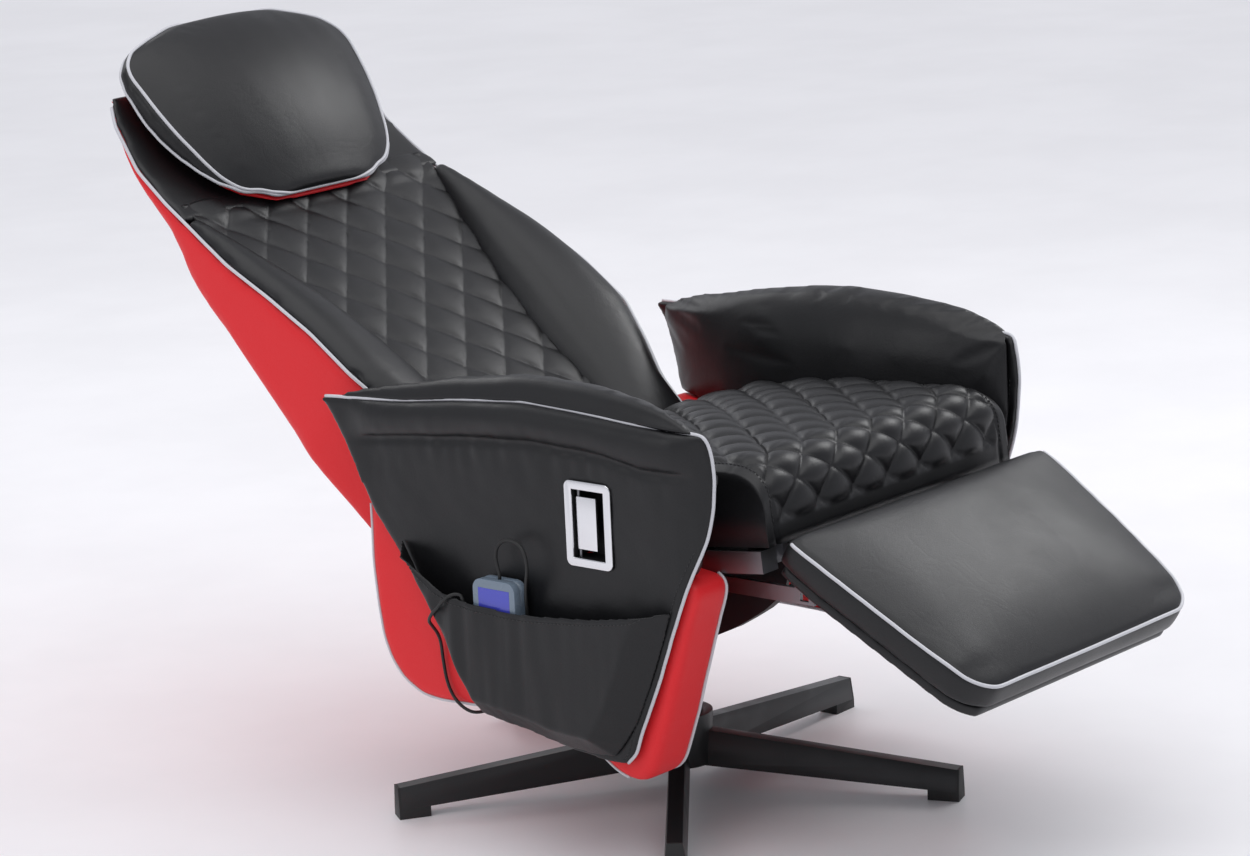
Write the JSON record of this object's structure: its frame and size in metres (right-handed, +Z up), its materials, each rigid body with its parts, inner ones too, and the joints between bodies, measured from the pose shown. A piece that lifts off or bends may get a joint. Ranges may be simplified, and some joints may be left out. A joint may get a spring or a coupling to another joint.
{
  "type": "massage recliner",
  "caption": "Upholstered massage recliner with a quilted seat and back, padded arms, a side pocket for its handset and a hinged footrest, on a star-shaped swivel base.",
  "frame": {"origin": "middle of the floor area that the chair covers, on the floor", "axes": "+Z up, -Y to the front, where the footrest is, and +X to the left of someone sitting in the chair"},
  "size_m": [0.6951, 1.3165, 0.8877],
  "materials": {
    "black_leather": "semi-gloss black imitation leather with a fine grain",
    "red_leather": "semi-gloss red imitation leather with a fine grain",
    "black_steel": "satin black powder coat",
    "steel": "zinc-plated steel",
    "nylon": "natural nylon",
    "plywood": "raw plywood",
    "chrome": "bright chrome, brushed on the paddle",
    "black_plastic": "black moulded plastic",
    "handset_plastic": "grey-blue moulded plastic",
    "label_film": "violet-blue film",
    "rubber": "black rubber",
    "webbing": "black elastic webbing"
  },
  "bodies": {
    "base": {"base_legs": "black_steel", "leg_caps": "rubber", "foot_pads": "rubber", "column_tube": "black_steel", "column_bush": "nylon", "thrust_washer": "nylon"},
    "seat": {"swivel_spindle": "steel", "swivel_plate": "black_steel", "plate_bolts": "steel", "mechanism_frame": "black_steel", "seat_frame": "steel", "seat_straps": "webbing", "seat_motors": "black_steel", "seat_cushion": "black_leather", "side_right": "red_leather", "side_left": "red_leather", "arm_pad_right": "black_leather", "arm_pad_left": "black_leather", "outer_panel_right": "black_leather", "outer_panel_left": "black_leather", "side_pocket": "black_leather", "lever_bezel": "chrome", "lever_housing": "black_plastic", "lever_pin": "steel", "rear_bumpers": "rubber", "recline_pivots": "steel", "recline_stop": "black_steel", "control_box": "black_plastic", "power_inlet": "black_plastic", "cord_gland": "rubber", "footrest_shaft": "steel", "link_guides": "black_steel", "handset_cord": "rubber"},
    "backrest": {"back_shell": "red_leather", "back_board": "plywood", "back_motors": "black_steel", "recline_brackets": "steel", "quilted_pad": "black_leather", "bolster_right": "black_leather", "bolster_left": "black_leather", "back_top_pad": "black_leather", "headrest_sleeves": "steel"},
    "headrest": {"headrest_posts": "steel", "headrest_back": "red_leather", "headrest_pillow": "black_leather"},
    "footrest": {"footrest_board": "black_leather", "footrest_pad": "black_leather", "footrest_brackets": "steel"},
    "drive_link": {"drive_link": "steel"},
    "lever": {"lever_paddle": "chrome"},
    "handset": {"handset_back": "handset_plastic", "handset_front": "handset_plastic", "handset_label": "label_film"},
    "button_1": {"handset_button_1": "rubber"},
    "button_2": {"handset_button_2": "rubber"},
    "button_3": {"handset_button_3": "rubber"}
  },
  "joints": [
    {"name": "swivel", "type": "hinge", "parent": "base", "child": "seat", "pos_m": [-0.0015, -0.06044, 0.215], "axis": [0, 0, 1], "continuous": true},
    {"name": "recline", "type": "hinge", "parent": "seat", "child": "backrest", "pos_m": [-0.0015, 0.08956, 0.378], "axis": [1, 0, 0], "range_deg": [0, 28]},
    {"name": "headrest_slide", "type": "slide", "parent": "backrest", "child": "headrest", "axis": [0, 0.5764, 0.8171], "range_m": [0, 0.05]},
    {"name": "footrest_fold", "type": "hinge", "parent": "seat", "child": "footrest", "pos_m": [-0.0015, -0.379, 0.37188], "axis": [1, 0, 0], "range_deg": [0, 57]},
    {"name": "footrest_slider", "type": "slide", "parent": "seat", "child": "drive_link", "axis": [0, 1, 0], "range_m": [0, 0.0475]},
    {"name": "lever_pull", "type": "hinge", "parent": "seat", "child": "lever", "pos_m": [-0.3025, -0.18144, 0.402], "axis": [0, 0, -1], "range_deg": [0, 35], "stiffness_Nm_per_rad": 0.15},
    {"name": "handset_lift", "type": "slide", "parent": "seat", "child": "handset", "axis": [0, 0, 1], "range_m": [0, 0.1], "deforming": ["handset_cord"]},
    {"name": "press_1", "type": "slide", "parent": "handset", "child": "button_1", "axis": [1, 0, 0], "range_m": [0, 0.0008], "stiffness_N_per_m": 600},
    {"name": "press_2", "type": "slide", "parent": "handset", "child": "button_2", "axis": [1, 0, 0], "range_m": [0, 0.0008], "stiffness_N_per_m": 600},
    {"name": "press_3", "type": "slide", "parent": "handset", "child": "button_3", "axis": [1, 0, 0], "range_m": [0, 0.0008], "stiffness_N_per_m": 600}
  ],
  "couplings": [
    {"joint": "footrest_slider", "follows": "footrest_fold", "m_per_rad": 0.0474}
  ]
}
